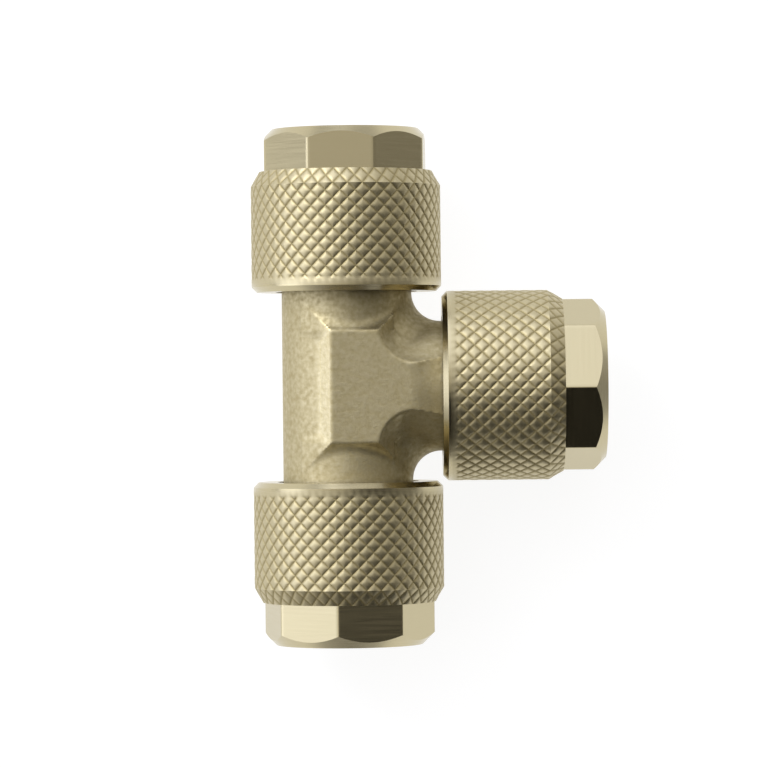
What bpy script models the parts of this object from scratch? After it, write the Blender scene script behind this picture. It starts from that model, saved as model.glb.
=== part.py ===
"""Equal tee compression fitting for 8 mm tube: a forged body and three knurled union nuts.

Blender 4.5, metres, +Z up. The tee lies flat: the run ports point along +Y and -Y, the branch port
along +X. The origin is the middle of the rear forging pad, so the port axes cross at AXIS_HEIGHT.
Every port is modelled in its own frame, whose +Z is the port's outward axis and whose zero is where
the axes cross. A height in that frame is the distance from the crossing.
"""

import math
from collections import namedtuple

import bmesh
import bpy
from mathutils import Matrix, Vector

MM = 0.001

# Tube and thread: 8 x 6 mm tube and an M12 x 1 right-hand thread.
TUBE_RADIUS = 4.0 * MM
TUBE_BORE_RADIUS = 3.0 * MM
THREAD_PITCH = 1.0 * MM
THREAD_TURNS = 6
THREAD_START = 10.4 * MM
MALE_CREST_RADIUS = 5.92 * MM
MALE_ROOT_RADIUS = 5.35 * MM
FEMALE_CREST_RADIUS = 5.50 * MM
FEMALE_ROOT_RADIUS = 6.02 * MM
MALE_CREST_WIDTH, MALE_ROOT_WIDTH = 0.12 * MM, 0.62 * MM
FEMALE_CREST_WIDTH, FEMALE_ROOT_WIDTH = 0.28 * MM, 0.80 * MM
RIDGE_BURIED = 0.12 * MM

# Forged body.
AXIS_HEIGHT = 6.1 * MM
ARM_RADIUS = 5.75 * MM
ARM_END = 9.0 * MM
ARM_EDGE = 0.2 * MM
RELIEF_RADIUS = 5.25 * MM
RELIEF_START, RELIEF_END = 9.2 * MM, 9.8 * MM
THREAD_CORE_START = 10.0 * MM
BRANCH_FOOT = 0.8 * MM
MOUTH = 16.8 * MM
MOUTH_CHAMFER = 0.3 * MM
CORNER_FILLET = 2.5 * MM
CORNER_STEPS = 6
WEB_HALF_THICKNESS = 2.5 * MM
PAD_BEVEL = 0.8 * MM
PAD_LEFT, PAD_RIGHT, PAD_HALF_LENGTH = -2.2 * MM, 3.55 * MM, 5.7 * MM
TONGUE_HALF_WIDTHS = ((4.5 * MM, 3.9 * MM), (6.1 * MM, 3.0 * MM), (7.8 * MM, 2.6 * MM))
WATERWAY_RADIUS = 2.5 * MM
BRANCH_WATERWAY_START = 0.4 * MM
DRILL_TIP_HALF_ANGLE = math.radians(59)
SUPPORT_SEAT_RADIUS = 3.65 * MM
SUPPORT_SEAT_START = 9.3 * MM
TUBE_STOP = 11.2 * MM
TUBE_SOCKET_RADIUS = 4.1 * MM
CONE_START = 15.2 * MM
CONE_MOUTH_RADIUS = 4.9 * MM

# Union nut: a knurled grip towards the body and an octagonal wrench section outside it.
NUT_INNER_END = 8.4 * MM
NUT_SHOULDER = 19.05 * MM
NUT_OUTER_END = 22.8 * MM
GRIP_RADIUS = 8.4 * MM
GRIP_INNER_CHAMFER = 0.45 * MM
SHOULDER_CHAMFER_LENGTH = 1.3 * MM
SHOULDER_CHAMFER_DEPTH = 0.75 * MM
WRENCH_SIDES = 8
ACROSS_FLATS = 14.0 * MM
END_FACE_RADIUS = 6.5 * MM
END_CHAMFER_SLOPE = 1.0
NUT_TUBE_HOLE_RADIUS = 4.15 * MM
TUBE_HOLE_CHAMFER = 0.4 * MM
SLEEVE_ROOM_RADIUS = 5.2 * MM
SLEEVE_ROOM_START = 17.2 * MM
SLEEVE_ROOM_END = 19.55 * MM
NUT_COUNTERBORE_RADIUS = 6.25 * MM
NUT_COUNTERBORE_END = 9.77 * MM

# Compression sleeve.
SLEEVE_BORE_RADIUS = TUBE_RADIUS + 0.08 * MM
SLEEVE_RADIUS = 5.0 * MM
SLEEVE_NOSE = 16.3 * MM
SLEEVE_NOSE_RADIUS = 4.45 * MM
SLEEVE_BODY_START = 17.4 * MM
SLEEVE_BODY_END = 19.5 * MM
SLEEVE_TAIL = 20.2 * MM
SLEEVE_TAIL_RADIUS = 4.4 * MM
SLEEVE_SLOT_WIDTH = 0.5 * MM
SLEEVE_SLOT_END = 18.6 * MM

# Tube support.
SUPPORT_BORE_RADIUS = 2.4 * MM
SUPPORT_STEM_RADIUS = TUBE_BORE_RADIUS - 0.05 * MM
SUPPORT_BARB_RADIUS = TUBE_BORE_RADIUS + 0.1 * MM
SUPPORT_ROOT_RADIUS = 3.55 * MM
SUPPORT_ROOT_START = 9.4 * MM
SUPPORT_ROOT_END = 11.1 * MM
SUPPORT_STEM_END = 19.2 * MM
BARB_COUNT = 2
BARB_PITCH = 1.5 * MM
BARB_LENGTH = 0.8 * MM
BARB_BACK = 0.05 * MM
SUPPORT_TIP_CHAMFER = 0.2 * MM

# How far a cutter reaches past what it cuts, and how finely round shapes are divided.
CLEAR = 1.0 * MM
ROUND_SIDES = 32
BORE_SIDES = 24
THREAD_SIDES = 16
SMOOTH_BELOW = math.radians(30)

# wrench_turn is the angle of one octagon corner, from the port frame's +X (the top of the fitting).
Port = namedtuple("Port", "name outward wrench_turn")
PORTS = (
    Port("top", Vector((0, 1, 0)), math.radians(19.8)),
    Port("bottom", Vector((0, -1, 0)), math.radians(7.1)),
    Port("branch", Vector((1, 0, 0)), math.radians(2.1)),
)


def clear_scene():
    for obj in list(bpy.data.objects):
        bpy.data.objects.remove(obj)


def new_collection(name):
    collection = bpy.data.collections.new(name)
    bpy.context.scene.collection.children.link(collection)
    return collection


def metal(name, colour, roughness):
    material = bpy.data.materials.new(name)
    material.use_nodes = True
    shader = material.node_tree.nodes["Principled BSDF"]
    shader.inputs["Base Color"].default_value = (*colour, 1.0)
    shader.inputs["Roughness"].default_value = roughness
    shader.inputs["Metallic"].default_value = 1.0
    return material


def port_matrix(port):
    """The port's frame: +Z outward, +X to the top of the fitting, zero at the axes' crossing."""
    up = Vector((0, 0, 1))
    across = port.outward.cross(up)
    turn = Matrix((up, across, port.outward)).transposed().to_4x4()
    return Matrix.Translation(up * AXIS_HEIGHT) @ turn


def add_object(name, mesh, matrix, collection):
    obj = bpy.data.objects.new(name, mesh)
    obj.matrix_world = matrix
    collection.objects.link(obj)
    return obj


def as_helper(obj):
    """Keeps a solid that only cuts or joins another out of the finished fitting."""
    obj.hide_render = True
    obj.display_type = "WIRE"
    return obj


def profile_mesh(name, profile, closed):
    """A line of (radius, height) points in the XZ plane."""
    mesh = bpy.data.meshes.new(name)
    edges = [(i, i + 1) for i in range(len(profile) - 1)]
    if closed:
        edges.append((len(profile) - 1, 0))
    mesh.from_pydata([(radius, 0.0, height) for radius, height in profile], edges, [])
    return mesh


def add_screw(obj, sides, rise=0.0, turns=1):
    """Turns the object's profile round its Z axis. A rise makes it a helix."""
    screw = obj.modifiers.new("turn", "SCREW")
    screw.axis = "Z"
    screw.angle = 2 * math.pi
    screw.steps = sides
    screw.render_steps = sides
    screw.screw_offset = rise
    screw.iterations = turns
    screw.use_merge_vertices = rise == 0.0
    screw.merge_threshold = 0.001 * MM
    screw.use_smooth_shade = True


def turned(name, profile, matrix, collection, sides=ROUND_SIDES):
    """A turned solid: the profile runs down its outer side, from the highest point to the lowest.

    It ends on the axis at both ends, or it closes into a ring round the bore.
    """
    closed = profile[0][0] > 0
    obj = add_object(name, profile_mesh(name, profile, closed), matrix, collection)
    add_screw(obj, sides)
    return obj


def evaluated_mesh(obj):
    graph = bpy.context.evaluated_depsgraph_get()
    return bpy.data.meshes.new_from_object(obj.evaluated_get(graph), depsgraph=graph)


def settle(obj):
    """Applies the object's modifiers and shades it smooth between its sharp edges."""
    mesh = evaluated_mesh(obj)
    obj.modifiers.clear()
    obj.data = mesh
    mesh.shade_smooth()
    mesh.set_sharp_from_angle(angle=SMOOTH_BELOW)


def combine(target, operand, operation):
    boolean = target.modifiers.new(operand.name, "BOOLEAN")
    boolean.operation = operation
    boolean.solver = "EXACT"
    boolean.object = operand


def thread_ridge(name, crest_radius, root_radius, crest_width, root_width, start, matrix, collection):
    """A right-hand helical ridge with blunt ends, whose root is buried in the metal that carries it."""
    outwards = math.copysign(1.0, crest_radius - root_radius)
    flank_slope = (root_width - crest_width) / abs(crest_radius - root_radius)
    buried_radius = root_radius - outwards * RIDGE_BURIED
    buried_width = root_width + flank_slope * RIDGE_BURIED
    profile = [
        (crest_radius, start + crest_width / 2),
        (crest_radius, start - crest_width / 2),
        (buried_radius, start - buried_width / 2),
        (buried_radius, start + buried_width / 2),
    ]
    ridge = add_object(name, profile_mesh(name, profile, True), matrix, collection)
    add_screw(ridge, THREAD_SIDES, THREAD_PITCH, THREAD_TURNS)
    mesh = evaluated_mesh(ridge)
    ridge.modifiers.clear()
    ridge.data = mesh
    shape = bmesh.new()
    shape.from_mesh(mesh)
    bmesh.ops.holes_fill(shape, edges=shape.edges, sides=len(profile))
    bmesh.ops.recalc_face_normals(shape, faces=shape.faces)
    shape.to_mesh(mesh)
    shape.free()
    return as_helper(ridge)


def prism(name, outline, low, high, matrix, collection, taper=0.0):
    """A solid on a flat outline. A taper bevels its upper edge by that much, at 45 degrees."""
    mesh = bpy.data.meshes.new(name)
    shape = bmesh.new()
    base = shape.faces.new([shape.verts.new((x, y, low)) for x, y in outline])
    sides = bmesh.ops.extrude_face_region(shape, geom=[base])["geom"]
    raised = [item for item in sides if isinstance(item, bmesh.types.BMVert)]
    bmesh.ops.translate(shape, verts=raised, vec=(0, 0, high - taper - low))
    bmesh.ops.recalc_face_normals(shape, faces=shape.faces)
    if taper:
        lid = [item for item in sides if isinstance(item, bmesh.types.BMFace)]
        bmesh.ops.inset_region(shape, faces=lid, thickness=taper, depth=taper, use_even_offset=True)
    shape.to_mesh(mesh)
    shape.free()
    return add_object(name, mesh, matrix, collection)


def spigot_profile():
    """The outside of one port: forged arm, thread relief, thread core and chamfered mouth."""
    return [
        (0, MOUTH),
        (MALE_ROOT_RADIUS - MOUTH_CHAMFER, MOUTH),
        (MALE_ROOT_RADIUS, MOUTH - MOUTH_CHAMFER),
        (MALE_ROOT_RADIUS, THREAD_CORE_START),
        (RELIEF_RADIUS, RELIEF_END),
        (RELIEF_RADIUS, RELIEF_START),
        (ARM_RADIUS - ARM_EDGE, ARM_END),
        (ARM_RADIUS, ARM_END - ARM_EDGE),
    ]


def socket_profile():
    """The bore of one port, from outside its mouth down to the waterway."""
    cone_slope = (CONE_MOUTH_RADIUS - TUBE_SOCKET_RADIUS) / (MOUTH - CONE_START)
    return [
        (0, MOUTH + CLEAR),
        (CONE_MOUTH_RADIUS + cone_slope * CLEAR, MOUTH + CLEAR),
        (TUBE_SOCKET_RADIUS, CONE_START),
        (TUBE_SOCKET_RADIUS, TUBE_STOP),
        (SUPPORT_SEAT_RADIUS, TUBE_STOP),
        (SUPPORT_SEAT_RADIUS, SUPPORT_SEAT_START),
        (WATERWAY_RADIUS, SUPPORT_SEAT_START),
    ]


def mirrored_down(profile):
    """The profile of one end, followed by the same end upside down."""
    return profile + [(radius, -height) for radius, height in reversed(profile)]


def corner_web_outline(side):
    """The concave forging fillet between the branch and one run arm, side being +1 or -1."""
    buried = ARM_RADIUS - CLEAR
    centre = ARM_RADIUS + CORNER_FILLET
    outline = [(buried, buried), (buried, centre)]
    for i in range(CORNER_STEPS + 1):
        angle = math.pi + (math.pi / 2) * i / CORNER_STEPS
        outline.append(
            (centre + CORNER_FILLET * math.cos(angle), centre + CORNER_FILLET * math.sin(angle))
        )
    outline.append((centre, buried))
    return [(x, side * y) for x, y in outline]


def pad_outline():
    """The foot of a forging pad: a block across the run with a tongue along the branch."""
    upper_half = [(PAD_LEFT, PAD_HALF_LENGTH), (PAD_RIGHT, PAD_HALF_LENGTH), *TONGUE_HALF_WIDTHS]
    return upper_half + [(x, -y) for x, y in reversed(upper_half)]


def make_body(parts, helpers):
    run_matrix = port_matrix(PORTS[0])
    branch_matrix = port_matrix(PORTS[2])
    body = turned("tee_body", mirrored_down(spigot_profile()), run_matrix, parts)

    # The branch starts just off the crossing, so that its end lies inside the run and under the pads.
    branch_profile = spigot_profile() + [(ARM_RADIUS, BRANCH_FOOT), (0, BRANCH_FOOT)]
    combine(body, as_helper(turned("branch_arm", branch_profile, branch_matrix, helpers)), "UNION")

    level = Matrix.Translation((0, 0, AXIS_HEIGHT))
    for side, label in ((1, "upper"), (-1, "lower")):
        web = prism(
            f"corner_web_{label}",
            corner_web_outline(side),
            -WEB_HALF_THICKNESS,
            WEB_HALF_THICKNESS,
            level,
            helpers,
        )
        combine(body, as_helper(web), "UNION")
    for turn, label in ((0.0, "front"), (math.pi, "rear")):
        pad = prism(
            f"forging_pad_{label}",
            pad_outline(),
            AXIS_HEIGHT / 2,
            AXIS_HEIGHT,
            level @ Matrix.Rotation(turn, 4, "X"),
            helpers,
            PAD_BEVEL,
        )
        combine(body, as_helper(pad), "UNION")
    for port in PORTS:
        ridge = thread_ridge(
            f"male_thread_{port.name}",
            MALE_CREST_RADIUS,
            MALE_ROOT_RADIUS,
            MALE_CREST_WIDTH,
            MALE_ROOT_WIDTH,
            THREAD_START,
            port_matrix(port),
            helpers,
        )
        combine(body, ridge, "UNION")

    run_bore = turned("run_bore", mirrored_down(socket_profile()), run_matrix, helpers, BORE_SIDES)
    combine(body, as_helper(run_bore), "DIFFERENCE")
    drill_tip = BRANCH_WATERWAY_START - WATERWAY_RADIUS / math.tan(DRILL_TIP_HALF_ANGLE)
    branch_profile = socket_profile() + [(WATERWAY_RADIUS, BRANCH_WATERWAY_START), (0, drill_tip)]
    branch_bore = turned("branch_bore", branch_profile, branch_matrix, helpers, BORE_SIDES)
    combine(body, as_helper(branch_bore), "DIFFERENCE")
    settle(body)
    return body


def grip_profile():
    """The plain cylinder that carries the knurl, chamfered at both ends and solid to the axis."""
    return [
        (0, NUT_SHOULDER),
        (GRIP_RADIUS - SHOULDER_CHAMFER_DEPTH, NUT_SHOULDER),
        (GRIP_RADIUS, NUT_SHOULDER - SHOULDER_CHAMFER_LENGTH),
        (GRIP_RADIUS, NUT_INNER_END + GRIP_INNER_CHAMFER),
        (GRIP_RADIUS - GRIP_INNER_CHAMFER, NUT_INNER_END),
        (0, NUT_INNER_END),
    ]


def end_chamfer_profile():
    """A ring that takes the corners off the wrench section's outer end."""
    outside = GRIP_RADIUS + CLEAR
    reach = ACROSS_FLATS / 2 + CLEAR
    top = NUT_OUTER_END + CLEAR
    bottom = NUT_OUTER_END - END_CHAMFER_SLOPE * (reach - END_FACE_RADIUS)
    return [
        (outside, top),
        (outside, bottom),
        (reach, bottom),
        (END_FACE_RADIUS - CLEAR / END_CHAMFER_SLOPE, top),
    ]


def nut_bore_profile():
    """The nut's inside: tube hole, cone, room for the sleeve, thread bore and counterbore."""
    sleeve_slope = (SLEEVE_TAIL - SLEEVE_BODY_END) / (SLEEVE_RADIUS - SLEEVE_TAIL_RADIUS)
    cone_end = SLEEVE_ROOM_END + sleeve_slope * (SLEEVE_ROOM_RADIUS - NUT_TUBE_HOLE_RADIUS)
    flare = NUT_COUNTERBORE_RADIUS - FEMALE_ROOT_RADIUS
    return [
        (0, NUT_OUTER_END + CLEAR),
        (NUT_TUBE_HOLE_RADIUS + TUBE_HOLE_CHAMFER + CLEAR, NUT_OUTER_END + CLEAR),
        (NUT_TUBE_HOLE_RADIUS, NUT_OUTER_END - TUBE_HOLE_CHAMFER),
        (NUT_TUBE_HOLE_RADIUS, cone_end),
        (SLEEVE_ROOM_RADIUS, SLEEVE_ROOM_END),
        (SLEEVE_ROOM_RADIUS, SLEEVE_ROOM_START),
        (FEMALE_ROOT_RADIUS, SLEEVE_ROOM_START),
        (FEMALE_ROOT_RADIUS, NUT_COUNTERBORE_END + flare),
        (NUT_COUNTERBORE_RADIUS, NUT_COUNTERBORE_END),
        (NUT_COUNTERBORE_RADIUS, NUT_INNER_END - CLEAR),
        (0, NUT_INNER_END - CLEAR),
    ]


def make_nut(port, parts, helpers):
    matrix = port_matrix(port)
    nut = turned(f"union_nut_{port.name}", grip_profile(), matrix, parts)
    corner_radius = ACROSS_FLATS / 2 / math.cos(math.pi / WRENCH_SIDES)
    corners = [port.wrench_turn + 2 * math.pi * i / WRENCH_SIDES for i in range(WRENCH_SIDES)]
    octagon = [(corner_radius * math.cos(a), corner_radius * math.sin(a)) for a in corners]
    middle = (NUT_INNER_END + NUT_SHOULDER) / 2
    wrench = prism(f"wrench_{port.name}", octagon, middle, NUT_OUTER_END, matrix, helpers)
    combine(nut, as_helper(wrench), "UNION")
    chamfer = turned(f"end_chamfer_{port.name}", end_chamfer_profile(), matrix, helpers)
    combine(nut, as_helper(chamfer), "DIFFERENCE")
    bore = turned(f"nut_bore_{port.name}", nut_bore_profile(), matrix, helpers)
    combine(nut, as_helper(bore), "DIFFERENCE")
    ridge = thread_ridge(
        f"female_thread_{port.name}",
        FEMALE_CREST_RADIUS,
        FEMALE_ROOT_RADIUS,
        FEMALE_CREST_WIDTH,
        FEMALE_ROOT_WIDTH,
        THREAD_START + THREAD_PITCH / 2,
        matrix,
        helpers,
    )
    combine(nut, ridge, "UNION")
    settle(nut)
    return nut


def make_sleeve(port, parts, helpers):
    matrix = port_matrix(port)
    profile = [
        (SLEEVE_TAIL_RADIUS, SLEEVE_TAIL),
        (SLEEVE_RADIUS, SLEEVE_BODY_END),
        (SLEEVE_RADIUS, SLEEVE_BODY_START),
        (SLEEVE_NOSE_RADIUS, SLEEVE_NOSE),
        (SLEEVE_BORE_RADIUS, SLEEVE_NOSE),
        (SLEEVE_BORE_RADIUS, SLEEVE_TAIL),
    ]
    sleeve = turned(f"compression_sleeve_{port.name}", profile, matrix, parts, BORE_SIDES)
    reach = SLEEVE_RADIUS + CLEAR
    half_width = SLEEVE_SLOT_WIDTH / 2
    slot = [(-reach, -half_width), (reach, -half_width), (reach, half_width), (-reach, half_width)]
    for i in range(2):
        turned_slot = matrix @ Matrix.Rotation(math.radians(45 + 90 * i), 4, "Z")
        name = f"sleeve_slot_{port.name}_{i + 1}"
        cutter = prism(name, slot, SLEEVE_NOSE - CLEAR, SLEEVE_SLOT_END, turned_slot, helpers)
        combine(sleeve, as_helper(cutter), "DIFFERENCE")
    settle(sleeve)
    return sleeve


def make_tube_support(port, parts):
    profile = [
        (SUPPORT_STEM_RADIUS - SUPPORT_TIP_CHAMFER, SUPPORT_STEM_END),
        (SUPPORT_STEM_RADIUS, SUPPORT_STEM_END - SUPPORT_TIP_CHAMFER),
    ]
    for i in range(BARB_COUNT):
        barb_top = SUPPORT_STEM_END - BARB_LENGTH - i * BARB_PITCH
        profile.append((SUPPORT_STEM_RADIUS, barb_top))
        profile.append((SUPPORT_BARB_RADIUS, barb_top - BARB_LENGTH))
        profile.append((SUPPORT_STEM_RADIUS, barb_top - BARB_LENGTH - BARB_BACK))
    profile += [
        (SUPPORT_STEM_RADIUS, SUPPORT_ROOT_END),
        (SUPPORT_ROOT_RADIUS, SUPPORT_ROOT_END),
        (SUPPORT_ROOT_RADIUS, SUPPORT_ROOT_START),
        (SUPPORT_BORE_RADIUS, SUPPORT_ROOT_START),
        (SUPPORT_BORE_RADIUS, SUPPORT_STEM_END),
    ]
    support = turned(f"tube_support_{port.name}", profile, port_matrix(port), parts, BORE_SIDES)
    settle(support)
    return support


def set_parent(child, parent):
    """Parents the child and keeps it where it is."""
    child.parent = parent
    child.matrix_parent_inverse = parent.matrix_world.inverted()


def main():
    clear_scene()
    parts = new_collection("compression_tee")
    helpers = new_collection("cutters_and_joined_shapes")
    forged = metal("forged_nickel_plate", (0.56, 0.52, 0.40), 0.42)
    machined = metal("machined_nickel_plate", (0.60, 0.56, 0.44), 0.30)
    sleeve_brass = metal("sleeve_brass", (0.66, 0.52, 0.28), 0.32)
    support_brass = metal("support_brass", (0.70, 0.54, 0.27), 0.28)

    body = make_body(parts, helpers)
    body.data.materials.append(forged)
    for port in PORTS:
        axis = add_object(f"port_{port.name}_axis", None, port_matrix(port), parts)
        bpy.context.view_layer.update()
        pieces = (
            (make_nut(port, parts, helpers), machined),
            (make_sleeve(port, parts, helpers), sleeve_brass),
            (make_tube_support(port, parts), support_brass),
        )
        for piece, material in pieces:
            piece.data.materials.append(material)
            set_parent(piece, axis)


main()
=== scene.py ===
"""The looks of the compression tee: forged body, knurled union nuts, slotted sleeves and tube supports.

Every piece is built in metres in the frame's own coordinates. A port's own frame has +Z outward along
the port, +X to the top of the fitting, and its zero where the port axes cross.
"""

import itertools
import math

import bmesh
import bpy
import numpy as np
from mathutils import Matrix, Vector


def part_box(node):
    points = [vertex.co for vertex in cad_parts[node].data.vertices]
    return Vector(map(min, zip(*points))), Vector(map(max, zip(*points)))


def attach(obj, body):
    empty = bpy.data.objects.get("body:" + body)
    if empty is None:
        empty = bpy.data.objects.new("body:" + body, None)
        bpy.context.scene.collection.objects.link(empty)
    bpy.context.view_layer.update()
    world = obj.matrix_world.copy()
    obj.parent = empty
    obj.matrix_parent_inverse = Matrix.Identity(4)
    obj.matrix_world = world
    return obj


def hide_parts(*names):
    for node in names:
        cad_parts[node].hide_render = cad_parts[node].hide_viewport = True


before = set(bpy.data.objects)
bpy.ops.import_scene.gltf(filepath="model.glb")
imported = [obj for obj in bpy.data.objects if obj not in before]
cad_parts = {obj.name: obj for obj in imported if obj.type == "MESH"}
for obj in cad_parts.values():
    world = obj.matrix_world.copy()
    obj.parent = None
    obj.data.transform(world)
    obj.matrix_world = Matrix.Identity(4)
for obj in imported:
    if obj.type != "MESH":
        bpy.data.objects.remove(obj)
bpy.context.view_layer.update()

MM = 0.001

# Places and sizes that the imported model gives.
NUT_LOW, NUT_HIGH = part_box("union_nut_top")
BODY_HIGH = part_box("tee_body")[1]
SLEEVE_LOW, SLEEVE_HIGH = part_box("compression_sleeve_top")
SUPPORT_LOW, SUPPORT_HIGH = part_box("tube_support_top")
AXIS_HEIGHT = (NUT_LOW[2] + NUT_HIGH[2]) / 2
GRIP_RADIUS = (NUT_HIGH[2] - NUT_LOW[2]) / 2
NUT_INNER_END, NUT_OUTER_END = NUT_LOW[1], NUT_HIGH[1]
MOUTH = BODY_HIGH[1]
PAD_HEIGHT = BODY_HIGH[2] - AXIS_HEIGHT
SLEEVE_NOSE, SLEEVE_TAIL = SLEEVE_LOW[1], SLEEVE_HIGH[1]
SLEEVE_RADIUS = (SLEEVE_HIGH[2] - SLEEVE_LOW[2]) / 2
SUPPORT_START, SUPPORT_END = SUPPORT_LOW[1], SUPPORT_HIGH[1]
SUPPORT_ROOT_RADIUS = (SUPPORT_HIGH[2] - SUPPORT_LOW[2]) / 2
CROSSING = Vector((0, 0, AXIS_HEIGHT))

# Each port's outward direction, and the turn of its nut's first wrench corner.
PORTS = {
    "top": (Vector((0, 1, 0)), math.radians(19.8)),
    "bottom": (Vector((0, -1, 0)), math.radians(7.1)),
    "branch": (Vector((1, 0, 0)), math.radians(2.1)),
}

# Forged body: its arms, and a pad with a tongue to the branch on the front and on the rear.
ARM_RADIUS = 5.75 * MM
ARM_END = 9.0 * MM
CORNER_FILLET = 2.5 * MM
PAD_LEFT, PAD_RIGHT = -1.4 * MM, 2.75 * MM
PAD_HALF_LENGTH, PAD_CRISP_HALF_LENGTH = 4.9 * MM, 4.0 * MM
PAD_ROOT = 4.4 * MM
PAD_FILLET = 3.3 * MM
PAD_LEFT_BLEND, PAD_RIGHT_BLEND = 0.08 * MM, 0.5 * MM
PAD_LEFT_SLOPE, PAD_RIGHT_SLOPE = 0.85, 1.3
TONGUE_HALF_WIDTH = 2.05 * MM
TONGUE_END = 6.0 * MM
TONGUE_FADE = 0.2
EDGE_ROUNDING = 0.12 * MM
SIDE_BLUR = 0.12 * MM
FORGING_CELL = 0.14 * MM
FORGING_MARGIN, FORGING_LEFT_MARGIN = 0.3 * MM, 0.4 * MM

# Thread: M12 x 1, right-hand. The widths are a ridge's width at its crest and at its root.
PITCH = 1.0 * MM
THREAD_START = 10.4 * MM
MALE_CREST, MALE_ROOT = 5.92 * MM, 5.35 * MM
FEMALE_CREST, FEMALE_ROOT = 5.50 * MM, 6.02 * MM
MALE_WIDTHS = (0.12 * MM, 0.62 * MM)
FEMALE_WIDTHS = (0.28 * MM, 0.80 * MM)
BODY_THREAD_ROWS_PER_PITCH = 16
NUT_THREAD_ROWS_PER_PITCH = 8

# Port: the relief behind the thread, the thread's run-out, the cone at the mouth and the bores.
RELIEF_RADIUS = 5.25 * MM
RELIEF_STEP = 0.15 * MM
THREAD_RUN_OUT = 0.4 * MM
MOUTH_CHAMFER = 0.3 * MM
SPIGOT_OVERLAP = 0.5 * MM
SPIGOT_CORE_RADIUS = 1.5 * MM
CONE_MOUTH_RADIUS, CONE_LENGTH, CONE_SLOPE = 4.9 * MM, 1.6 * MM, 0.5
TUBE_SOCKET_RADIUS, TUBE_STOP = 4.1 * MM, 11.2 * MM
SUPPORT_SEAT_RADIUS, SUPPORT_SEAT_START = 3.65 * MM, 9.3 * MM
WATERWAY_RADIUS = 2.5 * MM
WATERWAY_ENDS = {"top": -1.0 * MM, "bottom": -0.5 * MM, "branch": 0.4 * MM}
DRILL_TIP_HALF_ANGLE = math.radians(59)
CUTTER_REACH = 1.0 * MM

# Union nut.
SHOULDER = 19.05 * MM
SHOULDER_CHAMFER_LENGTH = 1.3 * MM
SHOULDER_CHAMFER_DEPTH = 0.75 * MM
INNER_CHAMFER = 0.45 * MM
WRENCH_SIDES = 8
FLAT_RADIUS = 7.0 * MM
END_FACE_RADIUS = 6.5 * MM
END_CHAMFER_SLOPE = 1.0
CORNER_SHIFT = 0.55
CORNER_DROP = 0.014 * MM
TUBE_HOLE_RADIUS, TUBE_HOLE_CHAMFER = 4.15 * MM, 0.4 * MM
COUNTERBORE_RADIUS, COUNTERBORE_END = 6.25 * MM, 9.77 * MM
SLEEVE_ROOM_RADIUS, SLEEVE_ROOM_START, SLEEVE_ROOM_END = 5.2 * MM, 17.2 * MM, 19.55 * MM
NUT_CONE_END = 20.78 * MM

# Diamond knurl. Relief is 0 in its grooves and 1 on its tops, and plain faces are marked with PLAIN_RELIEF.
KNURLS_AROUND = 40
COLUMNS_PER_KNURL = 8
NUT_COLUMNS = KNURLS_AROUND * COLUMNS_PER_KNURL
KNURL_DEPTH = 0.09 * MM
KNURL_ROUNDNESS = 3.2
KNURL_END = 9.35 * MM
KNURL_RUN_IN = 0.35 * MM
PLAIN_RELIEF = 2.0

# Sleeve.
SLEEVE_BORE_RADIUS = 4.08 * MM
SLEEVE_TAIL_RADIUS, SLEEVE_TAPER_LENGTH = 4.4 * MM, 0.66 * MM
SLEEVE_TAPER_EDGE = 0.03 * MM
SLEEVE_CONE_LENGTH, SLEEVE_CONE_SLOPE = 1.1 * MM, 0.5
SLEEVE_CONE_EDGE, SLEEVE_CONE_DROP = 0.05 * MM, 0.04 * MM
SLOT_CUTS, SLOT_WIDTH, SLOT_FROM_TAIL = 2, 0.5 * MM, 1.6 * MM
FIRST_SLOT_ANGLE = 45

# Tube support.
STEM_RADIUS, SUPPORT_BORE_RADIUS = 2.95 * MM, 2.4 * MM
BARB_COUNT, BARB_RADIUS, BARB_LENGTH = 2, 3.1 * MM, 0.8 * MM
BARB_PITCH, BARB_BACK = 1.5 * MM, 0.05 * MM
STEM_CHAMFER, ROOT_CHAMFER = 0.2 * MM, 0.1 * MM
SUPPORT_ROOT_END = 11.1 * MM

TURNED_SIDES = 160
SHARP_ANGLE = math.radians(28)

# Metal colours, and how rough each metal is from one extreme to the other.
PLATE_CLEAN = (0.53, 0.465, 0.29)
PLATE_DULL = (0.44, 0.375, 0.21)
# The next colour is painted shade for the knurl's grooves, where shade falls.
PLATE_GROOVE_SHADE = (0.37, 0.31, 0.16)
BRASS_CLEAN = (0.62, 0.45, 0.19)
BRASS_DULL = (0.5, 0.34, 0.12)
FORGED_ROUGHNESS = (0.62, 0.46)
RUBBED_ROUGHNESS = 0.26
TURNED_ROUGHNESS = (0.36, 0.26)
GROOVE_ROUGHNESS, PLAIN_ROUGHNESS = 0.6, 0.2

# Patterns on the metals. Noise stays near the middle of 0 to 1.
NOISE_MIDDLE = (0.3, 0.7)
NOISE_DETAIL = 2.0
GRAIN_SCALE, GRAIN_STRENGTH, GRAIN_DEPTH = 5200.0, 0.5, 0.02 * MM
MOTTLING_SCALE, MOTTLING_STRENGTH, MOTTLING_DEPTH = 2400.0, 0.35, 0.04 * MM
TOOL_LINE_STRETCH, TOOL_LINE_STRENGTH, TOOL_LINE_DEPTH = (0.25, 0.25, 9.0), 0.11, 0.012 * MM
TOOL_LINE_ROUGHNESS = (-0.03, 0.04)
PATCH_SCALE, PATCH_DETAIL, PATCH_CLEANNESS = 0.9, 3.0, (0.4, 1.0)
# Knurl tops from this relief up get no painted groove shade.
UNSHADED_RELIEF = 0.9

# Floor: it glows round the fitting, a painted pool of light that washes out the fitting's shadows, and is
# plain further out.
FLOOR_SIZE = 1.0
FLOOR_GLOW_MIDDLE = (-0.005, 0.005, NUT_LOW[2])
FLOOR_FADE = (0.058, 0.12)
FLOOR_COLOUR = (0.2, 0.6)
FLOOR_GLOW = (0.9, 0.0)

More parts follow.
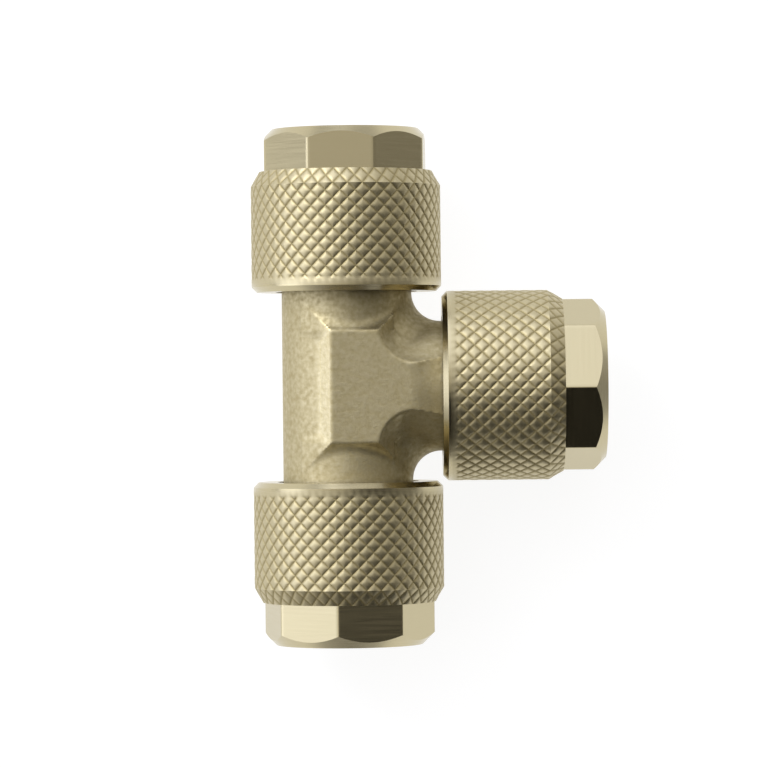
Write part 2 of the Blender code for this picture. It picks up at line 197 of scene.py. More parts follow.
# Surround: even light, plus a slope of light towards one side, plus lobes. A lobe is its direction, the
# angles in degrees where it's full and where it ends, and its strength, which is below 0 where it darkens.
WARM_LIGHT = (1.0, 0.96, 0.88)
COOL_LIGHT = (1.0, 1.03, 1.16)
WARM_STRENGTH, COOL_STRENGTH = 0.6, 1.5
SLOPE_DIRECTION, SLOPE_STRENGTH, EVEN_STRENGTH = (-0.35, 0.94, 0), 0.48, 0.62
LEAST_STRENGTH = 0.02
LOBES = (
    ((-0.5, 0.6, 0.4), 32, 56, 0.6),
    ((-0.97, 0.0, 0.2), 10, 28, 0.95),
    ((0.38, -0.55, 0.74), 16, 46, -0.7),
    ((0.93, -0.2, 0.3), 12, 40, -0.2),
)

SOFTBOX_DIRECTION = Vector((-0.55, 0.55, 0.6)).normalized()
SOFTBOX_DISTANCE, SOFTBOX_SIZE, SOFTBOX_WATTS = 0.5, 0.24, 0.75

CAMERA_DISTANCE = 380 * MM
CAMERA_ASIDE, CAMERA_UP = 3.24 * MM, 0.2 * MM
CAMERA_ROLL = math.radians(-0.6)
LENS = 201


def port_matrix(outward):
    """The port's frame in the model's: +Z outward, +X to the top of the fitting."""
    up = Vector((0, 0, 1))
    turn = Matrix((up, outward.cross(up), outward)).transposed().to_4x4()
    return Matrix.Translation(CROSSING) @ turn


def placed(matrix, points):
    """Rows of port-frame points as model coordinates."""
    turn = np.array(matrix.to_3x3())
    return points @ turn.T + np.array(matrix.translation)


def add_object(name, data):
    """A new object in the scene."""
    item = bpy.data.objects.new(name, data)
    bpy.context.scene.collection.objects.link(item)
    return item


def add_piece(name, mesh, body, node, slot, *materials):
    """A new piece that rides on a body and stands for one CAD node."""
    for material in materials:
        mesh.materials.append(material)
    piece = add_object(name, mesh)
    mesh.shade_smooth()
    mesh.set_sharp_from_angle(angle=SHARP_ANGLE)
    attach(piece, body)
    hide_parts(node)


def mesh_from(name, vertices, faces):
    mesh = bpy.data.meshes.new(name)
    mesh.from_pydata(vertices.tolist(), [], faces)
    mesh.validate()
    return mesh


def from_crossing(mesh):
    """The mesh's vertices, measured from where the port axes cross."""
    points = np.empty(len(mesh.vertices) * 3)
    mesh.vertices.foreach_get("co", points)
    return points.reshape(-1, 3) - np.array(CROSSING)


def in_port(points, outward):
    """Points measured from the crossing, turned into a port's frame."""
    return points @ np.array(port_matrix(outward).to_3x3())


def store_numbers(mesh, name, values):
    """Stores one number or one vector for each vertex, for the materials to read."""
    kind = "FLOAT" if values.ndim == 1 else "FLOAT_VECTOR"
    field = "value" if values.ndim == 1 else "vector"
    attribute = mesh.attributes.new(name, kind, "POINT")
    attribute.data.foreach_set(field, values.astype(np.float32).ravel())


def store_turning(mesh, outward):
    """Stores where each vertex is in its port's frame, in millimetres, for the tool lines."""
    store_numbers(mesh, "turning", in_port(from_crossing(mesh), outward) / MM)


# Shapes that turn round a port's axis.


def ring_faces(rows, columns, leaning):
    """The faces of a ring of rows by columns that closes both ways.

    leaning holds, for each cell, 0 for a whole quad, or 1 or 2 for a quad cut along one diagonal.
    """
    faces = []
    for i in range(rows):
        low, high = i * columns, (i + 1) % rows * columns
        for j in range(columns):
            k = (j + 1) % columns
            a, b, c, d = low + j, high + j, high + k, low + k
            if leaning[i][j] == 0:
                faces.append((a, b, c, d))
            elif leaning[i][j] == 1:
                faces += [(a, b, c), (a, c, d)]
            else:
                faces += [(a, b, d), (b, c, d)]
    return faces


def around_axis(radius, angle, height):
    """Points at radius, angle and height, given as rows by columns."""
    return np.stack((radius * np.cos(angle), radius * np.sin(angle), height), axis=-1).reshape(-1, 3)


def thread_radius(height, angle, crest, root, crest_width, root_width, phase):
    """The radius of a right-hand thread with trapezoid ridges, at a height and an angle."""
    turns = (height - phase) / PITCH - angle / (2 * math.pi)
    from_ridge = np.abs(turns - np.round(turns)) * PITCH
    share = np.clip((from_ridge - crest_width / 2) / ((root_width - crest_width) / 2), 0, 1)
    return crest + (root - crest) * share


def flats_outline(corner_angle):
    """The wrench section's (angle, radius) at each column. Its corners are very slightly rounded."""
    per_flat = NUT_COLUMNS // WRENCH_SIDES
    column = np.arange(NUT_COLUMNS)
    place = (column % per_flat).astype(float)
    place[column % per_flat == 1] = CORNER_SHIFT
    place[column % per_flat == per_flat - 1] = per_flat - CORNER_SHIFT
    flat_angle = 2 * math.pi / WRENCH_SIDES
    from_corner = place / per_flat * flat_angle
    radius = FLAT_RADIUS / np.cos(from_corner - flat_angle / 2)
    radius[column % per_flat == 0] -= CORNER_DROP
    return corner_angle + column // per_flat * flat_angle + from_corner, radius


def knurl_height(column, row):
    """A diamond knurl's height from 0 in its grooves to 1 on its rounded tops."""
    falling = np.abs(np.mod((column + row) / COLUMNS_PER_KNURL, 1.0) * 2 - 1)
    rising = np.abs(np.mod((column - row) / COLUMNS_PER_KNURL, 1.0) * 2 - 1)
    return 1 - np.maximum(falling, rising) ** KNURL_ROUNDNESS


def plain_rows(angle, outline):
    """Rows of a nut's round, plain faces, from (radius, height) points."""
    same = np.ones(len(angle))
    return [(angle, radius * same, height * same, PLAIN_RELIEF * same) for radius, height in outline]


def wrench_rows(corner_angle):
    """The end face's edge, the chamfer over the corners, and the flats down to the shoulder."""
    angle, flats = flats_outline(corner_angle)
    same = np.ones(len(angle))
    plain = PLAIN_RELIEF * same
    return [
        (angle, END_FACE_RADIUS * same, NUT_OUTER_END * same, plain),
        (angle, flats, NUT_OUTER_END - END_CHAMFER_SLOPE * (flats - END_FACE_RADIUS), plain),
        (angle, flats, SHOULDER * same, plain),
    ]


def knurl_rows(angle):
    """The knurled grip, from the chamfered shoulder to the plain collar, with diamonds as long as wide."""
    same = np.ones(len(angle))
    step = 2 * math.pi * GRIP_RADIUS / NUT_COLUMNS
    count = round((SHOULDER - KNURL_END) / step)
    rows = []
    for i in range(count + 1):
        height = SHOULDER - i * (SHOULDER - KNURL_END) / count
        depth = KNURL_DEPTH * min(1, (height - KNURL_END) / KNURL_RUN_IN)
        cone_share = max(1 - (SHOULDER - height) / SHOULDER_CHAMFER_LENGTH, 0)
        top = GRIP_RADIUS - SHOULDER_CHAMFER_DEPTH * cone_share
        relief = 1 - (1 - knurl_height(np.arange(len(angle)), i)) * depth / KNURL_DEPTH
        rows.append((angle, top - KNURL_DEPTH * (1 - relief), height * same, relief))
    return rows


def nut_thread_rows(angle):
    """The nut's thread, which runs out into a chamfer at each end."""
    same = np.ones(len(angle))
    low = COUNTERBORE_END + COUNTERBORE_RADIUS - FEMALE_ROOT
    count = round((SLEEVE_ROOM_START - low) / PITCH * NUT_THREAD_ROWS_PER_PITCH)
    phase = THREAD_START + PITCH / 2
    rows = []
    for i in range(count + 1):
        height = low + i * (SLEEVE_ROOM_START - low) / count
        thread = thread_radius(height, angle, FEMALE_CREST, FEMALE_ROOT, *FEMALE_WIDTHS, phase)
        lead_in = FEMALE_ROOT - max(height - low, 0)
        lead_out = FEMALE_ROOT - max(SLEEVE_ROOM_START - height, 0)
        rows.append((angle, np.maximum(thread, max(lead_in, lead_out)), height * same, PLAIN_RELIEF * same))
    return rows


def nut_rows(angle, corner_angle):
    """The nut's outline as rows of (angle, radius, height, relief), and which rows are the knurl's."""
    inner_end = [
        (GRIP_RADIUS, NUT_INNER_END + INNER_CHAMFER),
        (GRIP_RADIUS - INNER_CHAMFER, NUT_INNER_END),
        (COUNTERBORE_RADIUS, NUT_INNER_END),
        (COUNTERBORE_RADIUS, COUNTERBORE_END),
    ]
    sleeve_room_and_tube_hole = [
        (SLEEVE_ROOM_RADIUS, SLEEVE_ROOM_START),
        (SLEEVE_ROOM_RADIUS, SLEEVE_ROOM_END),
        (TUBE_HOLE_RADIUS, NUT_CONE_END),
        (TUBE_HOLE_RADIUS, NUT_OUTER_END - TUBE_HOLE_CHAMFER),
        (TUBE_HOLE_RADIUS + TUBE_HOLE_CHAMFER, NUT_OUTER_END),
    ]
    rows = wrench_rows(corner_angle)
    first_knurl_row = len(rows)
    rows += knurl_rows(angle)
    after_knurl = len(rows)
    rows += plain_rows(angle, inner_end)
    rows += nut_thread_rows(angle)
    rows += plain_rows(angle, sleeve_room_and_tube_hole)
    return rows, first_knurl_row, after_knurl


def nut_mesh(name, outward, corner_angle):
    angle = corner_angle + 2 * math.pi * np.arange(NUT_COLUMNS) / NUT_COLUMNS
    rows, first, after = nut_rows(angle, corner_angle)
    turn, radius, height, relief = (np.array(values) for values in zip(*rows))
    row, column = np.indices(radius.shape)
    # On the knurl, the diagonal has to follow the groove that crosses the cell.
    knurled = (row >= first) & (row < after - 1)
    falling = np.mod(column + row - first + 1, COLUMNS_PER_KNURL) == 0
    leaning = np.where(knurled, np.where(falling, 2, 1), 0)
    points = placed(port_matrix(outward), around_axis(radius, turn, height))
    mesh = mesh_from(name, points, ring_faces(len(rows), NUT_COLUMNS, leaning.tolist()))
    store_turning(mesh, outward)
    store_numbers(mesh, "relief", relief.ravel())
    return mesh


def turned_mesh(name, profile, matrix):
    """A turned solid. Its profile of (radius, height) runs down the outer side, then up the bore."""
    mesh = bpy.data.meshes.new(name)
    closed = profile[0][0] > 0
    edges = [(i, i + 1) for i in range(len(profile) - 1)] + [(len(profile) - 1, 0)] * closed
    mesh.from_pydata([(radius, 0.0, height) for radius, height in profile], edges, [])
    turner = add_object(name, mesh)
    screw = turner.modifiers.new("turn", "SCREW")
    screw.steps = screw.render_steps = TURNED_SIDES
    screw.use_merge_vertices = True
    screw.merge_threshold = 0.001 * MM
    solid = applied(turner)
    solid.transform(matrix)
    return solid


def applied(obj):
    """The object's mesh with its modifiers applied. The object itself is removed."""
    graph = bpy.context.evaluated_depsgraph_get()
    mesh = bpy.data.meshes.new_from_object(obj.evaluated_get(graph), depsgraph=graph)
    bpy.data.objects.remove(obj)
    return mesh


def combined(mesh, operations):
    """The mesh after Boolean operations with other meshes, given as (operation, mesh) pairs."""
    target = add_object(mesh.name, mesh)
    operands = []
    for operation, other in operations:
        operand = add_object(other.name, other)
        operands.append(operand)
        boolean = target.modifiers.new(other.name, "BOOLEAN")
        boolean.solver = "MANIFOLD"
        boolean.operation = operation
        boolean.object = operand
    result = applied(target)
    result.materials.clear()
    for operand in operands:
        bpy.data.objects.remove(operand)
    return result


# The forged body.


def round_union(a, b, radius):
    """The distance to two shapes joined with a concave fillet."""
    inner = np.hypot(np.maximum(radius - a, 0), np.maximum(radius - b, 0))
    return np.maximum(radius, np.minimum(a, b)) - inner


def soft_min(a, b, width):
    """The lesser of two distances, blended where they differ by less than width."""
    overlap = np.maximum(width - np.abs(a - b), 0) / width
    return np.minimum(a, b) - overlap * overlap * width / 4


def soft_max(a, b, width):
    return -soft_min(-a, -b, width)


def forging_distance(x, y, z):
    """About how far a point is outside the forged tee, before its bores. The crossing is at zero."""
    run_radius = np.hypot(x, z)
    branch_radius = np.hypot(y, z)
    run = soft_max(run_radius - ARM_RADIUS, np.abs(y) - ARM_END, EDGE_ROUNDING * 2)
    branch = soft_max(branch_radius - ARM_RADIUS, x - ARM_END, EDGE_ROUNDING * 2)
    branch = np.maximum(branch, -x)
    # The fillet fades where the two arms' surfaces become parallel, above and below the crossing.
    opening = 1 - z * z / np.maximum(run_radius * branch_radius, 1e-9)
    arms = round_union(run, branch, CORNER_FILLET * np.clip(opening, 0, 1))

    # The pad ends with the branch arm. It meets the arms crisply at the middle of its long straight side.
    pad = np.maximum(pad_distance(x, y, z), x - ARM_END)
    past_crisp = (np.abs(y) - PAD_CRISP_HALF_LENGTH) / (PAD_HALF_LENGTH - PAD_CRISP_HALF_LENGTH)
    softness = np.maximum(towards_branch(x), np.clip(past_crisp, 0, 1))
    blend = PAD_LEFT_BLEND + (PAD_RIGHT_BLEND - PAD_LEFT_BLEND) * softness
    return np.maximum(soft_min(arms, pad, blend), np.abs(z) - PAD_HEIGHT)


def towards_branch(x):
    """A share from 0 at the pads' straight long side to 1 where their tongue starts."""
    return np.clip((x - PAD_LEFT) / (PAD_RIGHT - PAD_LEFT), 0, 1)


def pad_distance(x, y, z):
    """About how far a point is outside the front pad or the rear one: a block with a tongue to the branch."""
    middle, half_width = (PAD_LEFT + PAD_RIGHT) / 2, (PAD_RIGHT - PAD_LEFT) / 2
    block = np.maximum(np.abs(x - middle) - half_width, np.abs(y) - PAD_HALF_LENGTH)
    tongue = np.maximum(np.abs(y) - TONGUE_HALF_WIDTH, (x - TONGUE_END) * TONGUE_FADE)
    tongue = np.maximum(tongue, PAD_LEFT + PAD_FILLET - x)
    outline = round_union(block, tongue, PAD_FILLET)
    above = np.abs(z) - PAD_HEIGHT
    # The sides are steeper towards the branch, where the arms fall away.
    slope = PAD_LEFT_SLOPE + (PAD_RIGHT_SLOPE - PAD_LEFT_SLOPE) * towards_branch(x)
    side = (outline * slope + above) / np.hypot(slope, 1)
    return np.maximum(soft_max(above, side, EDGE_ROUNDING), PAD_ROOT - np.abs(z))


def surface_net(distance, low, high, cell):
    """The closed quad mesh on which distance is zero: a vertex for each cell that the surface crosses."""
    axes = [np.arange(a, b + cell, cell) for a, b in zip(low, high)]
    inside = distance(*np.meshgrid(*axes, indexing="ij")) < 0
    shape = np.array(inside.shape) - 1
    corners = sum(
        inside[i : i + shape[0], j : j + shape[1], k : k + shape[2]].astype(int)
        for i, j, k in itertools.product((0, 1), repeat=3)
    )
    cells = np.argwhere((corners > 0) & (corners < 8))
    number = np.full(shape, -1)
    number[tuple(cells.T)] = np.arange(len(cells))
    points = np.array(low) + (cells + 0.5) * cell
    quads = []
    for axis in range(3):
        across, up = (axis + 1) % 3, (axis + 2) % 3
        before = np.moveaxis(inside, (axis, across, up), (0, 1, 2))
        index = np.moveaxis(number, (axis, across, up), (0, 1, 2))
        here, there = before[:-1, 1:-1, 1:-1], before[1:, 1:-1, 1:-1]
        for leaving in (True, False):
            i, j, k = np.nonzero((here == leaving) & (there != leaving))
            around = [index[i, j, k], index[i, j + 1, k], index[i, j + 1, k + 1], index[i, j, k + 1]]
            quads.append(np.stack(around if leaving else around[::-1], axis=-1))
    return settled_on(distance, points, cell), np.concatenate(quads).tolist()


def settled_on(distance, points, cell, rounds=6):
    """The points moved onto the surface, none by more than a cell."""
    start = points.copy()
    small = 0.01 * cell
    for _ in range(rounds):
        value = distance(*points.T)
        slope = np.stack(
            [
                (distance(*(points + step).T) - distance(*(points - step).T)) / (2 * small)
                for step in np.eye(3) * small
            ],
            axis=-1,
        )
        steepness = np.maximum((slope * slope).sum(axis=-1), 0.1)
        points = points - slope * (value / steepness)[:, None]
        points = start + np.clip(points - start, -cell, cell)
    return points


def spigot_mesh(name, outward):
    """A port's thread, relief and mouth, round a small hole that its bore takes away."""
    angle = 2 * math.pi * np.arange(TURNED_SIDES) / TURNED_SIDES
    same = np.ones(TURNED_SIDES)
    top, bottom = MOUTH - MOUTH_CHAMFER, THREAD_START - THREAD_RUN_OUT
    foot = ARM_END - SPIGOT_OVERLAP
    rows = [(SPIGOT_CORE_RADIUS * same, MOUTH * same), ((MALE_ROOT - MOUTH_CHAMFER) * same, MOUTH * same)]
    count = round((top - bottom) / PITCH * BODY_THREAD_ROWS_PER_PITCH)
    for i in range(count + 1):
        height = top + i * (bottom - top) / count
        thread = thread_radius(height, angle, MALE_CREST, MALE_ROOT, *MALE_WIDTHS, THREAD_START)
        run_out = MALE_ROOT + min(top - height, height - bottom)
        rows.append((np.minimum(thread, run_out), height * same))
    rows += [
        (RELIEF_RADIUS * same, (bottom - RELIEF_STEP) * same),
        (RELIEF_RADIUS * same, foot * same),
        (SPIGOT_CORE_RADIUS * same, foot * same),
    ]
    radius, height = (np.array(values) for values in zip(*rows))
    points = placed(port_matrix(outward), around_axis(radius, angle, height))
    return mesh_from(name, points, ring_faces(len(rows), TURNED_SIDES, [[0] * TURNED_SIDES] * len(rows)))


def bore_profile(deepest):
    """A port's bore, from outside the mouth to deepest, where a drill's cone ends it."""
    return [
        (0, MOUTH + CUTTER_REACH),
        (CONE_MOUTH_RADIUS + CONE_SLOPE * CUTTER_REACH, MOUTH + CUTTER_REACH),
        (TUBE_SOCKET_RADIUS, MOUTH - CONE_LENGTH),
        (TUBE_SOCKET_RADIUS, TUBE_STOP),
        (SUPPORT_SEAT_RADIUS, TUBE_STOP),
        (SUPPORT_SEAT_RADIUS, SUPPORT_SEAT_START),
        (WATERWAY_RADIUS, SUPPORT_SEAT_START),
        (WATERWAY_RADIUS, deepest),
        (0, deepest - WATERWAY_RADIUS / math.tan(DRILL_TIP_HALF_ANGLE)),
    ]


def body_mesh():
    """The forging with its three threaded spigots, and its bores, which open into each other."""
    reach = ARM_END + FORGING_MARGIN
    low = (-ARM_RADIUS - FORGING_LEFT_MARGIN, -reach, -PAD_HEIGHT - FORGING_MARGIN)
    high = (reach, reach, PAD_HEIGHT + FORGING_MARGIN)
    points, quads = surface_net(forging_distance, low, high, FORGING_CELL)
    forging = mesh_from("forging", points + np.array(CROSSING), quads)
    steps = []
    for name, (outward, _) in PORTS.items():
        steps.append(("UNION", spigot_mesh(f"spigot_{name}", outward)))
    for name, (outward, _) in PORTS.items():
        bore = turned_mesh(f"bore_{name}", bore_profile(WATERWAY_ENDS[name]), port_matrix(outward))
        steps.append(("DIFFERENCE", bore))
    body = combined(forging, steps)
    mark_faces(body)
    return body


def mark_faces(body):
    """Gives the turned faces the body's second material, and stores what both materials read."""
    points = from_crossing(body)
    turning = np.zeros_like(points)
    furthest = np.zeros(len(points))
    for outward, _ in PORTS.values():
        local = in_port(points, outward)
        nearest = local[:, 2] > furthest
        turning[nearest] = local[nearest]
        furthest[nearest] = local[nearest, 2]
    store_numbers(body, "turning", turning / MM)
    # The long straight side of each pad is rubbed bright.
    depth = PAD_HEIGHT - np.abs(points[:, 2])
    near = 1 - pad_distance(*points.T) / SIDE_BLUR
    left = (PAD_LEFT - points[:, 0]) / SIDE_BLUR
    rubbed = np.minimum(np.minimum(near, depth / SIDE_BLUR), left)
    store_numbers(body, "rubbed", np.clip(rubbed, 0, 1))
    # The turned faces are the spigots, beyond the arms, and the waterways.
    beyond_arms = turning[:, 2] > ARM_END + EDGE_ROUNDING
    in_waterway = np.hypot(*turning[:, :2].T) < WATERWAY_RADIUS * 1.01
    turned = beyond_arms | in_waterway
    for face in body.polygons:
        face.material_index = int(all(turned[i] for i in face.vertices))


# Sleeves and tube supports.


def slot_cutter(name, matrix, angle):
    """A thin box across the sleeve's nose, which cuts two slots that face each other."""
    reach = SLEEVE_RADIUS + CUTTER_REACH
    top, bottom = SLEEVE_TAIL - SLOT_FROM_TAIL, SLEEVE_NOSE - CUTTER_REACH
    size = Matrix.Diagonal((2 * reach, SLOT_WIDTH, top - bottom, 1))
    place = Matrix.Translation((0, 0, (top + bottom) / 2))
    turn = Matrix.Rotation(angle, 4, "Z")
    shape = bmesh.new()
    bmesh.ops.create_cube(shape, size=1, matrix=matrix @ turn @ place @ size)
    cutter = bpy.data.meshes.new(name)
    shape.to_mesh(cutter)
    shape.free()
    return cutter


def sleeve_mesh(name, outward):
    """The slotted sleeve: a cone at its nose and a taper at its tail."""
    matrix = port_matrix(outward)
    cone_end = SLEEVE_NOSE + SLEEVE_CONE_LENGTH
    taper_start = SLEEVE_TAIL - SLEEVE_TAPER_LENGTH
    profile = [
        (SLEEVE_TAIL_RADIUS, SLEEVE_TAIL),
        (SLEEVE_RADIUS - SLEEVE_TAPER_EDGE, taper_start),
        (SLEEVE_RADIUS, taper_start - 2 * SLEEVE_TAPER_EDGE),
        (SLEEVE_RADIUS, cone_end + SLEEVE_CONE_EDGE),
        (SLEEVE_RADIUS - SLEEVE_CONE_DROP, cone_end - SLEEVE_CONE_EDGE),
        (SLEEVE_RADIUS - SLEEVE_CONE_LENGTH * SLEEVE_CONE_SLOPE, SLEEVE_NOSE),
        (SLEEVE_BORE_RADIUS, SLEEVE_NOSE),
        (SLEEVE_BORE_RADIUS, SLEEVE_TAIL),
    ]
    steps = []
    for i in range(SLOT_CUTS):
        angle = math.radians(FIRST_SLOT_ANGLE + 180 / SLOT_CUTS * i)
        steps.append(("DIFFERENCE", slot_cutter(f"{name}_slot_{i}", matrix, angle)))
    slotted = combined(turned_mesh(name, profile, matrix), steps)
    store_turning(slotted, outward)
    return slotted


def support_mesh(name, outward):
    """The tube support: a stem with shallow barbs on a thicker root."""
    profile = [(STEM_RADIUS - STEM_CHAMFER, SUPPORT_END), (STEM_RADIUS, SUPPORT_END - STEM_CHAMFER)]
    for i in range(BARB_COUNT):
        tip = SUPPORT_END - BARB_LENGTH - i * BARB_PITCH
        foot = tip - BARB_LENGTH
        profile += [(STEM_RADIUS, tip), (BARB_RADIUS, foot), (STEM_RADIUS, foot - BARB_BACK)]
    profile += [
        (STEM_RADIUS, SUPPORT_ROOT_END),
        (SUPPORT_ROOT_RADIUS - ROOT_CHAMFER, SUPPORT_ROOT_END),
        (SUPPORT_ROOT_RADIUS, SUPPORT_ROOT_END - ROOT_CHAMFER),
        (SUPPORT_ROOT_RADIUS, SUPPORT_START),
        (SUPPORT_BORE_RADIUS, SUPPORT_START),
        (SUPPORT_BORE_RADIUS, SUPPORT_END),
    ]
    support = turned_mesh(name, profile, port_matrix(outward))
    store_turning(support, outward)
    return support


# Materials.


def new_material(name):
    """A new node material, and its main shader."""
    material = bpy.data.materials.new(name)
    material.use_nodes = True
    return material, material.node_tree.nodes["Principled BSDF"]


def new_metal(name):
    material, shader = new_material(name)
    shader.inputs["Metallic"].default_value = 1.0
    return material, shader


def add_node(owner, kind, inputs, **settings):
    """A new node in a material or world. An input is a plain value, or another node's output to link."""
    node = owner.node_tree.nodes.new(kind)
    for setting, value in settings.items():
        setattr(node, setting, value)
    for socket, value in inputs.items():
        if isinstance(value, bpy.types.NodeSocket):
            owner.node_tree.links.new(value, node.inputs[socket])
        else:
            node.inputs[socket].default_value = value
    return node


def link(owner, output, socket):
    owner.node_tree.links.new(output, socket)


def noise(owner, where, scale, detail=NOISE_DETAIL):
    inputs = {"Vector": where, "Scale": scale, "Detail": detail}
    return add_node(owner, "ShaderNodeTexNoise", inputs).outputs["Fac"]


def stored(owner, name):
    """What a mesh stores for each vertex under a name."""
    return add_node(owner, "ShaderNodeAttribute", {}, attribute_name=name)


def spread(owner, inputs, **settings):
    """A value mapped from one range to another, each 0 to 1 unless inputs say otherwise."""
    return add_node(owner, "ShaderNodeMapRange", inputs, **settings).outputs["Result"]


def spread_noise(owner, value, low, high):
    """A noise value spread over low to high."""
    start, end = NOISE_MIDDLE
    return spread(owner, {"Value": value, "From Min": start, "From Max": end, "To Min": low, "To Max": high})


def colour_between(owner, share, low, high):
    mix = add_node(owner, "ShaderNodeMix", {"Factor": share}, data_type="RGBA")
    colours = [socket for socket in mix.inputs if socket.type == "RGBA"]
    colours[0].default_value = (*low, 1)
    colours[1].default_value = (*high, 1)
    return next(socket for socket in mix.outputs if socket.type == "RGBA")


def bumped(owner, height, strength, distance, **under):
    """The normal of a bumpy surface. under can give the Normal of a bump that it lies on."""
    inputs = {"Height": height, "Strength": strength, "Distance": distance, **under}
    return add_node(owner, "ShaderNodeBump", inputs).outputs["Normal"]


def forged_plate():
    """Nickel plate over a blasted forging: a fine grain, with soft mottling as wide as a few grains."""
    material, shader = new_metal("forged_plate")
    where = add_node(material, "ShaderNodeTexCoord", {}).outputs["Object"]
    grain = noise(material, where, GRAIN_SCALE)
    mottling = noise(material, where, MOTTLING_SCALE)
    share = spread_noise(material, mottling, 0.0, 1.0)
    link(material, colour_between(material, share, PLATE_DULL, PLATE_CLEAN), shader.inputs["Base Color"])
    skin = spread_noise(material, mottling, *FORGED_ROUGHNESS)
    rubbed = stored(material, "rubbed").outputs["Fac"]
    roughness = spread(material, {"Value": rubbed, "To Min": skin, "To Max": RUBBED_ROUGHNESS})
    link(material, roughness, shader.inputs["Roughness"])
    waves = bumped(material, mottling, MOTTLING_STRENGTH, MOTTLING_DEPTH)
    grainy = bumped(material, grain, GRAIN_STRENGTH, GRAIN_DEPTH, Normal=waves)
    link(material, grainy, shader.inputs["Normal"])
    return material


def knurl_shade_and_roughness(material):
    """A knurled nut's colour share and roughness: rougher in its grooves, and darker there with painted
    shade.
    """
    relief = stored(material, "relief").outputs["Fac"]
    inputs = {"Value": relief, "From Max": UNSHADED_RELIEF}
    share = spread(material, inputs, interpolation_type="SMOOTHSTEP")
    rough, smooth = GROOVE_ROUGHNESS, PLAIN_ROUGHNESS
    inputs = {"Value": relief, "From Max": PLAIN_RELIEF, "To Min": rough, "To Max": smooth}
    return share, spread(material, inputs)


def patchy_finish(material, where):
    """A turned part's colour share and roughness, uneven in soft patches."""
    patches = noise(material, where, PATCH_SCALE, PATCH_DETAIL)
    share = spread_noise(material, patches, *PATCH_CLEANNESS)
    return share, spread_noise(material, patches, *TURNED_ROUGHNESS)


def turned_metal(name, dull_and_shade, clean, knurled=False):
    """Bright turned metal with fine tool lines round its axis."""
    material, shader = new_metal(name)
    where = stored(material, "turning").outputs["Vector"]
    inputs = {0: where, 1: TOOL_LINE_STRETCH}
    along = add_node(material, "ShaderNodeVectorMath", inputs, operation="MULTIPLY").outputs["Vector"]
    lines = noise(material, along, 1.0)
    # On a knurl the colour share paints shade into the grooves; elsewhere it is uneven tone in patches.
    share, polish = knurl_shade_and_roughness(material) if knurled else patchy_finish(material, where)
    link(material, colour_between(material, share, dull_and_shade, clean), shader.inputs["Base Color"])
    streaks = spread_noise(material, lines, *TOOL_LINE_ROUGHNESS)
    roughness = add_node(material, "ShaderNodeMath", {0: polish, 1: streaks}).outputs["Value"]
    link(material, roughness, shader.inputs["Roughness"])
    lined = bumped(material, lines, TOOL_LINE_STRENGTH, TOOL_LINE_DEPTH)
    link(material, lined, shader.inputs["Normal"])
    return material


# Floor, light and camera.


def make_floor():
    """A pale floor that the nuts rest on, glowing whitest where the fitting lies: a painted pool of light
    that washes out its shadows.
    """
    shape = bmesh.new()
    place = Matrix.Translation((0, 0, NUT_LOW[2]))
    bmesh.ops.create_grid(shape, x_segments=1, y_segments=1, size=FLOOR_SIZE / 2, matrix=place)
    mesh = bpy.data.meshes.new("floor")
    shape.to_mesh(mesh)
    shape.free()
    floor = add_object("floor", mesh)
    material, shader = new_material("pale_floor")
    shader.inputs["Roughness"].default_value = 0.9
    shader.inputs["Specular IOR Level"].default_value = 0.0
    shader.inputs["Emission Color"].default_value = (1, 1, 1, 1)
    where = add_node(material, "ShaderNodeTexCoord", {}).outputs["Object"]
    inputs = {0: where, 1: FLOOR_GLOW_MIDDLE}
    away = add_node(material, "ShaderNodeVectorMath", inputs, operation="DISTANCE").outputs["Value"]
    start, end = FLOOR_FADE
    # Near the fitting the floor's colour is darker and it glows: painted light that fills the fitting's
    # shadows.
    for socket, (near, far) in (("Base Color", FLOOR_COLOUR), ("Emission Strength", FLOOR_GLOW)):
        inputs = {"Value": away, "From Min": start, "From Max": end, "To Min": near, "To Max": far}
        link(material, spread(material, inputs, interpolation_type="SMOOTHSTEP"), shader.inputs[socket])
    mesh.materials.append(material)


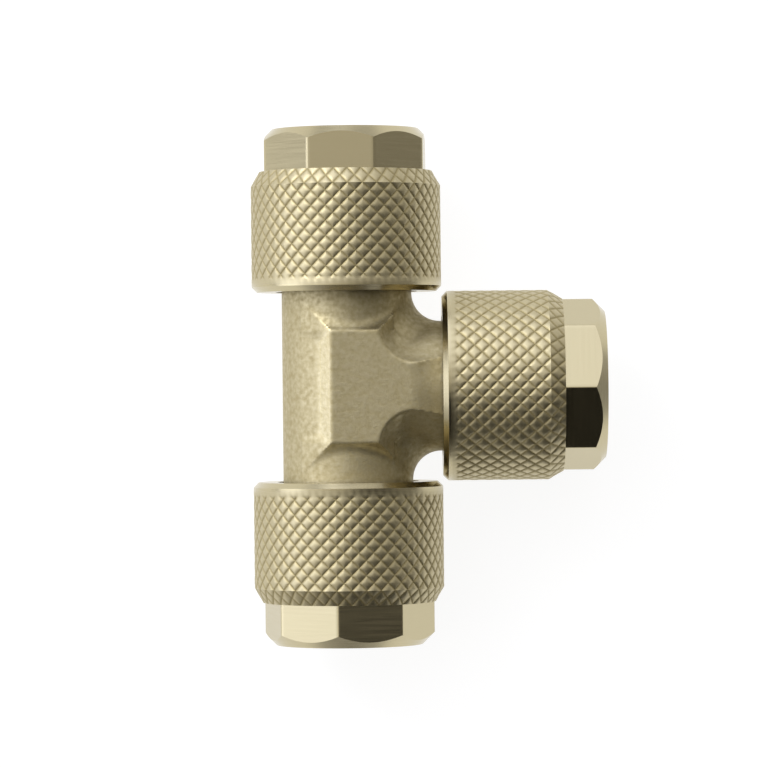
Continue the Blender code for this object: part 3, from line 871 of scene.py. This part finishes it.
def make_world():
    """A soft surround: bright to the left and to the top, and darker down to the right."""
    world = bpy.data.worlds.new("studio")
    bpy.context.scene.world = world
    world.use_nodes = True
    background = world.node_tree.nodes["Background"]
    direction = add_node(world, "ShaderNodeTexCoord", {}).outputs["Generated"]

    def facing(towards):
        inputs = {0: direction, 1: Vector(towards).normalized()}
        return add_node(world, "ShaderNodeVectorMath", inputs, operation="DOT_PRODUCT").outputs["Value"]

    inputs = {0: facing(SLOPE_DIRECTION), 1: SLOPE_STRENGTH, 2: EVEN_STRENGTH}
    total = add_node(world, "ShaderNodeMath", inputs, operation="MULTIPLY_ADD").outputs["Value"]
    for towards, full, end, strength in LOBES:
        inputs = {
            "Value": facing(towards),
            "From Min": math.cos(math.radians(end)),
            "From Max": math.cos(math.radians(full)),
            "To Max": strength,
        }
        lobe = spread(world, inputs, interpolation_type="SMOOTHSTEP")
        total = add_node(world, "ShaderNodeMath", {0: total, 1: lobe}).outputs["Value"]
    inputs = {0: total, 1: LEAST_STRENGTH}
    total = add_node(world, "ShaderNodeMath", inputs, operation="MAXIMUM").outputs["Value"]
    link(world, total, background.inputs["Strength"])
    coolness = spread(world, {"Value": total, "From Min": WARM_STRENGTH, "From Max": COOL_STRENGTH})
    link(world, colour_between(world, coolness, WARM_LIGHT, COOL_LIGHT), background.inputs["Color"])


def make_softbox():
    """The key light: one square softbox up to the left."""
    data = bpy.data.lights.new("softbox", "AREA")
    data.size = SOFTBOX_SIZE
    data.energy = SOFTBOX_WATTS
    softbox = add_object("softbox", data)
    softbox.location = CROSSING + SOFTBOX_DIRECTION * SOFTBOX_DISTANCE
    softbox.rotation_euler = SOFTBOX_DIRECTION.to_track_quat("Z", "Y").to_euler()


def make_camera():
    """Straight down on the tee as it lies on its nuts, with a long lens."""
    data = bpy.data.cameras.new("camera")
    data.lens = LENS
    data.sensor_width = 36
    data.clip_start = 0.01
    camera = add_object("camera", data)
    camera.location = (CAMERA_ASIDE, CAMERA_UP, AXIS_HEIGHT + CAMERA_DISTANCE)
    camera.rotation_euler = (0, 0, CAMERA_ROLL)
    bpy.context.scene.camera = camera


make_camera()
make_world()
make_softbox()
make_floor()
bpy.context.scene.view_settings.view_transform = "Standard"

forged = forged_plate()
machined = turned_metal("machined_plate", PLATE_DULL, PLATE_CLEAN)
# The knurled plate's groove colour is painted shade.
knurled = turned_metal("knurled_plate", PLATE_GROOVE_SHADE, PLATE_CLEAN, knurled=True)
brass = turned_metal("turned_brass", BRASS_DULL, BRASS_CLEAN)

add_piece("tee_forging", body_mesh(), "tee", "tee_body", "forged_nickel_plate", forged, machined)
for name, (outward, corner_angle) in PORTS.items():
    nut, sleeve, support = f"nut_{name}", f"sleeve_{name}", f"support_{name}"
    mesh = nut_mesh(nut, outward, corner_angle)
    add_piece(nut, mesh, nut, f"union_nut_{name}", "machined_nickel_plate", knurled)
    mesh = sleeve_mesh(sleeve, outward)
    add_piece(sleeve, mesh, sleeve, f"compression_sleeve_{name}", "sleeve_brass", brass)
    mesh = support_mesh(support, outward)
    add_piece(support, mesh, "tee", f"tube_support_{name}", "support_brass", brass)
